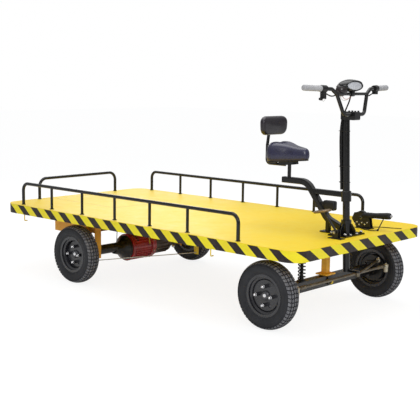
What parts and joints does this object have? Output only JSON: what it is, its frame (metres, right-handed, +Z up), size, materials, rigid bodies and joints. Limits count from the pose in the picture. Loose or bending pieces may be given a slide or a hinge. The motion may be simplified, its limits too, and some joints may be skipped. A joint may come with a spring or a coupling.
{
  "type": "electric platform cart",
  "caption": "Flat-bed electric platform cart with guard rails, a steering mast with handlebar and lamp, a saddle with backrest, coil springs and a rear drive axle.",
  "frame": {"origin": "The middle of the bounding box on the ground, under the platform's centre.", "axes": "+X is forward, +Y is the driver's left and +Z is up."},
  "size_m": [3, 1.5, 1.605],
  "materials": {
    "deck_yellow": "satin",
    "frame_yellow": "satin",
    "stripe_edge": "gloss",
    "black_paint": "gloss",
    "axle_black": "satin",
    "motor_red": "gloss",
    "gearcase_grey": "satin",
    "tyre": "matt",
    "wheel_black": "satin",
    "steel": "brushed",
    "grip": "matt",
    "plastic_black": "matt",
    "lens": "clear",
    "saddle_cover": "gloss",
    "rubber": "matt",
    "pedal": "matt",
    "battery_case": "matt"
  },
  "bodies": {
    "chassis": {"deck_plate": "deck_yellow", "skirt_sides": "stripe_edge", "skirt_ends": "stripe_edge", "frame_channels": "frame_yellow", "cross_members": "frame_yellow", "side_rails": "black_paint", "side_rail_posts": "black_paint", "rear_rail": "black_paint", "rear_rail_legs": "black_paint", "rear_axle_right": "axle_black", "rear_axle_left": "axle_black", "drive_motor": "motor_red", "gearcase": "gearcase_grey", "rear_axle_brackets": "frame_yellow", "rear_subframe": "frame_yellow", "battery": "battery_case", "axle_clamps": "axle_black", "front_axle_beam": "axle_black", "front_pivot_bracket": "frame_yellow", "front_springs": "black_paint", "front_dampers": "black_paint", "mast_base": "black_paint", "seat_frame": "black_paint", "control_box": "plastic_black", "seat_post": "black_paint", "backrest_bar": "black_paint", "backrest_pad": "saddle_cover", "saddle": "saddle_cover", "brake_pedal": "black_paint", "pedal_pad": "pedal", "hand_brake_bracket": "black_paint", "hand_brake_lever": "black_paint", "brake_relay": "frame_yellow", "brake_rods": "steel", "rope_hooks": "frame_yellow", "motor_cable": "grip"},
    "steering": {"steering_column": "black_paint", "stem": "black_paint", "handlebar": "black_paint", "grips": "grip", "switch_pods": "plastic_black", "head_lamp": "plastic_black", "lamp_lens": "lens", "cable_bundle": "rubber"},
    "drag_link": {"drag_link": "steel"},
    "tie_rod": {"tie_rod": "steel"},
    "knuckle_left": {"knuckle_left": "axle_black"},
    "knuckle_right": {"knuckle_right": "axle_black"},
    "wheel_front_left": {"tyre_front_left": "tyre", "rim_front_left": "wheel_black", "hub_front_left": "wheel_black"},
    "wheel_front_right": {"tyre_front_right": "tyre", "rim_front_right": "wheel_black", "hub_front_right": "wheel_black"},
    "wheel_rear_left": {"tyre_rear_left": "tyre", "rim_rear_left": "wheel_black", "hub_rear_left": "wheel_black"},
    "wheel_rear_right": {"tyre_rear_right": "tyre", "rim_rear_right": "wheel_black", "hub_rear_right": "wheel_black"}
  },
  "joints": [
    {"name": "steer", "type": "hinge", "parent": "chassis", "child": "steering", "pos_m": [1.34081, 0, 0.66], "axis": [-0.0419, 0, 0.9991], "range_deg": [-30, 30]},
    {"name": "knuckle_left_turn", "type": "hinge", "parent": "chassis", "child": "knuckle_left", "pos_m": [1.185, 0.525, 0.225], "axis": [0, 0, 1], "range_deg": [-30, 30]},
    {"name": "knuckle_right_turn", "type": "hinge", "parent": "chassis", "child": "knuckle_right", "pos_m": [1.185, -0.525, 0.225], "axis": [0, 0, 1], "range_deg": [-30, 30]},
    {"name": "tie_rod_turn", "type": "hinge", "parent": "knuckle_right", "child": "tie_rod", "pos_m": [1.34, -0.525, 0.248], "axis": [0, 0, 1], "range_deg": [-30, 30]},
    {"name": "drag_link_turn", "type": "hinge", "parent": "steering", "child": "drag_link", "pos_m": [1.44589, 0, 0.30201], "axis": [-0.0419, 0, 0.9991], "range_deg": [-30, 30]},
    {"name": "wheel_front_left_roll", "type": "hinge", "parent": "knuckle_left", "child": "wheel_front_left", "pos_m": [1.185, 0.627, 0.225], "axis": [0, 1, 0], "continuous": true},
    {"name": "wheel_front_right_roll", "type": "hinge", "parent": "knuckle_right", "child": "wheel_front_right", "pos_m": [1.185, -0.627, 0.225], "axis": [0, 1, 0], "continuous": true},
    {"name": "wheel_rear_left_roll", "type": "hinge", "parent": "chassis", "child": "wheel_rear_left", "pos_m": [-0.715, 0.643, 0.225], "axis": [0, 1, 0], "continuous": true},
    {"name": "wheel_rear_right_roll", "type": "hinge", "parent": "chassis", "child": "wheel_rear_right", "pos_m": [-0.715, -0.643, 0.225], "axis": [0, 1, 0], "continuous": true}
  ],
  "couplings": [
    {"joint": "knuckle_left_turn", "follows": "steer", "ratio": 1},
    {"joint": "knuckle_right_turn", "follows": "steer", "ratio": 1},
    {"joint": "tie_rod_turn", "follows": "steer", "ratio": -1},
    {"joint": "drag_link_turn", "follows": "steer", "ratio": -1}
  ]
}
